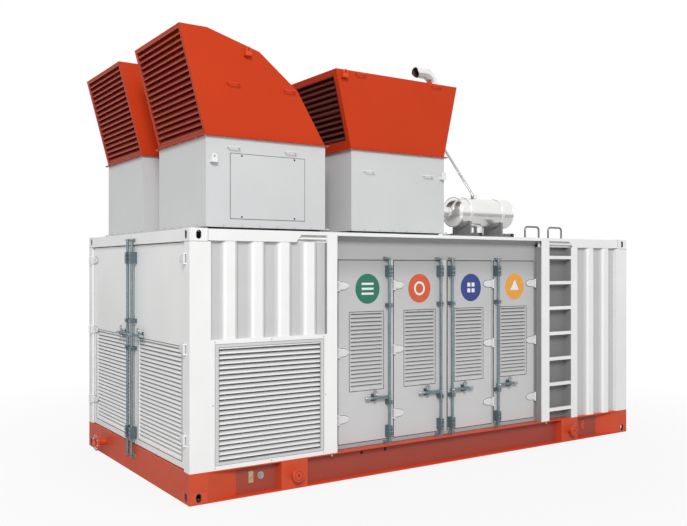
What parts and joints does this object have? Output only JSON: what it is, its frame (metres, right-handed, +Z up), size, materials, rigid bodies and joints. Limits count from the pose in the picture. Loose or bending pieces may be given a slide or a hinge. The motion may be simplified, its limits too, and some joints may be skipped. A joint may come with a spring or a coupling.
{
  "type": "natural gas generator",
  "caption": "Containerised gas generating set: steel enclosure on a skid with louvres, service doors with lock rods, roof air hoods and an exhaust silencer.",
  "frame": {"origin": "centre of the skid's rectangular plan, on the ground plane under the corner castings", "axes": "+Z up, +X along the enclosure from the door end to the blank end, -Y the long side with the hinged service doors"},
  "size_m": [6.163, 2.98, 4.39],
  "materials": {
    "white_paint": "semi-gloss paint on steel",
    "grey_white_paint": "satin paint on sheet",
    "red_paint": "semi-gloss paint on steel",
    "orange_paint": "semi-gloss paint on sheet",
    "galvanised_steel": "dull zinc coat",
    "bare_steel": "bright brushed",
    "deck_steel": "dark floor paint",
    "silver_paint": "paint in the hood's colour"
  },
  "bodies": {
    "frame": {"base_corners": "red_paint", "base_end_beams": "red_paint", "base_side_beams": "red_paint", "bay_headers_and_sills": "white_paint", "bay_posts": "white_paint", "bottom_castings": "red_paint", "corner_posts": "white_paint", "cowl_centre": "orange_paint", "cowl_far": "orange_paint", "cowl_louvres": "orange_paint", "cowl_near": "orange_paint", "exhaust_riser": "bare_steel", "exhaust_stack": "bare_steel", "far_side_door_hardware": "galvanised_steel", "far_side_door_leaves": "white_paint", "far_side_lock_rods": "galvanised_steel", "floor_bearers": "red_paint", "floor_deck": "deck_steel", "gas_inlet": "red_paint", "grab_hoops": "white_paint", "hinge_lugs": "galvanised_steel", "hood_curbs": "grey_white_paint", "hood_lugs_and_grips": "silver_paint", "ladder_backs": "white_paint", "ladder_rungs": "white_paint", "lifting_blocks": "red_paint", "plenum_centre": "grey_white_paint", "plenum_far": "grey_white_paint", "plenum_near": "grey_white_paint", "rear_wall": "white_paint", "rod_keepers": "galvanised_steel", "roof_bows": "white_paint", "roof_panel": "white_paint", "side_louvres": "white_paint", "side_posts": "white_paint", "side_wall_panels": "white_paint", "silencer_cradles": "bare_steel", "silencer_shell": "bare_steel", "stack_brace": "bare_steel", "top_castings": "white_paint", "top_end_rails": "white_paint", "top_side_rails": "white_paint"},
    "side_door_1": {"side_door_1_leaf": "white_paint", "side_door_1_hardware": "galvanised_steel"},
    "side_door_1_lock_rod_body": {"side_door_1_lock_rod": "galvanised_steel"},
    "side_door_2": {"side_door_2_leaf": "white_paint", "side_door_2_hardware": "galvanised_steel"},
    "side_door_2_lock_rod_body": {"side_door_2_lock_rod": "galvanised_steel"},
    "side_door_3": {"side_door_3_leaf": "white_paint", "side_door_3_hardware": "galvanised_steel"},
    "side_door_3_lock_rod_body": {"side_door_3_lock_rod": "galvanised_steel"},
    "side_door_4": {"side_door_4_leaf": "white_paint", "side_door_4_hardware": "galvanised_steel"},
    "side_door_4_lock_rod_body": {"side_door_4_lock_rod": "galvanised_steel"},
    "end_door_near": {"end_door_near_leaf": "white_paint", "end_door_near_hardware": "galvanised_steel"},
    "end_door_near_lock_rod_body": {"end_door_near_lock_rod": "galvanised_steel"},
    "end_door_far": {"end_door_far_leaf": "white_paint", "end_door_far_hardware": "galvanised_steel"},
    "end_door_far_lock_rod_body": {"end_door_far_lock_rod": "galvanised_steel"}
  },
  "joints": [
    {"name": "side_door_1_hinge", "type": "hinge", "parent": "frame", "child": "side_door_1", "pos_m": [-1.381, -1.333, 1.237], "axis": [0, 0, -1], "range_deg": [0, 110]},
    {"name": "side_door_1_lock", "type": "hinge", "parent": "side_door_1", "child": "side_door_1_lock_rod_body", "pos_m": [-0.766, -1.365, 0.763], "axis": [0, 0, 1], "range_deg": [0, 90]},
    {"name": "side_door_2_hinge", "type": "hinge", "parent": "frame", "child": "side_door_2", "pos_m": [-0.677, -1.333, 1.237], "axis": [0, 0, -1], "range_deg": [0, 110]},
    {"name": "side_door_2_lock", "type": "hinge", "parent": "side_door_2", "child": "side_door_2_lock_rod_body", "pos_m": [-0.062, -1.365, 0.763], "axis": [0, 0, 1], "range_deg": [0, 90]},
    {"name": "side_door_3_hinge", "type": "hinge", "parent": "frame", "child": "side_door_3", "pos_m": [0.749, -1.333, 1.237], "axis": [0, 0, 1], "range_deg": [0, 110]},
    {"name": "side_door_3_lock", "type": "hinge", "parent": "side_door_3", "child": "side_door_3_lock_rod_body", "pos_m": [0.102, -1.365, 0.763], "axis": [0, 0, -1], "range_deg": [0, 90]},
    {"name": "side_door_4_hinge", "type": "hinge", "parent": "frame", "child": "side_door_4", "pos_m": [1.439, -1.333, 1.237], "axis": [0, 0, 1], "range_deg": [0, 110]},
    {"name": "side_door_4_lock", "type": "hinge", "parent": "side_door_4", "child": "side_door_4_lock_rod_body", "pos_m": [0.802, -1.365, 0.763], "axis": [0, 0, -1], "range_deg": [0, 90]},
    {"name": "end_door_far_hinge", "type": "hinge", "parent": "frame", "child": "end_door_far", "pos_m": [-3.047, 1.337, 1.365], "axis": [0, 0, -1], "range_deg": [0, 180]},
    {"name": "end_door_far_lock", "type": "hinge", "parent": "end_door_far", "child": "end_door_far_lock_rod_body", "pos_m": [-3.055, 0.06, 1.406], "axis": [0, 0, 1], "range_deg": [0, 90]},
    {"name": "end_door_near_hinge", "type": "hinge", "parent": "frame", "child": "end_door_near", "pos_m": [-3.047, -1.337, 1.365], "axis": [0, 0, 1], "range_deg": [0, 180]},
    {"name": "end_door_near_lock", "type": "hinge", "parent": "end_door_near", "child": "end_door_near_lock_rod_body", "pos_m": [-3.055, -0.06, 1.406], "axis": [0, 0, -1], "range_deg": [0, 90]}
  ]
}
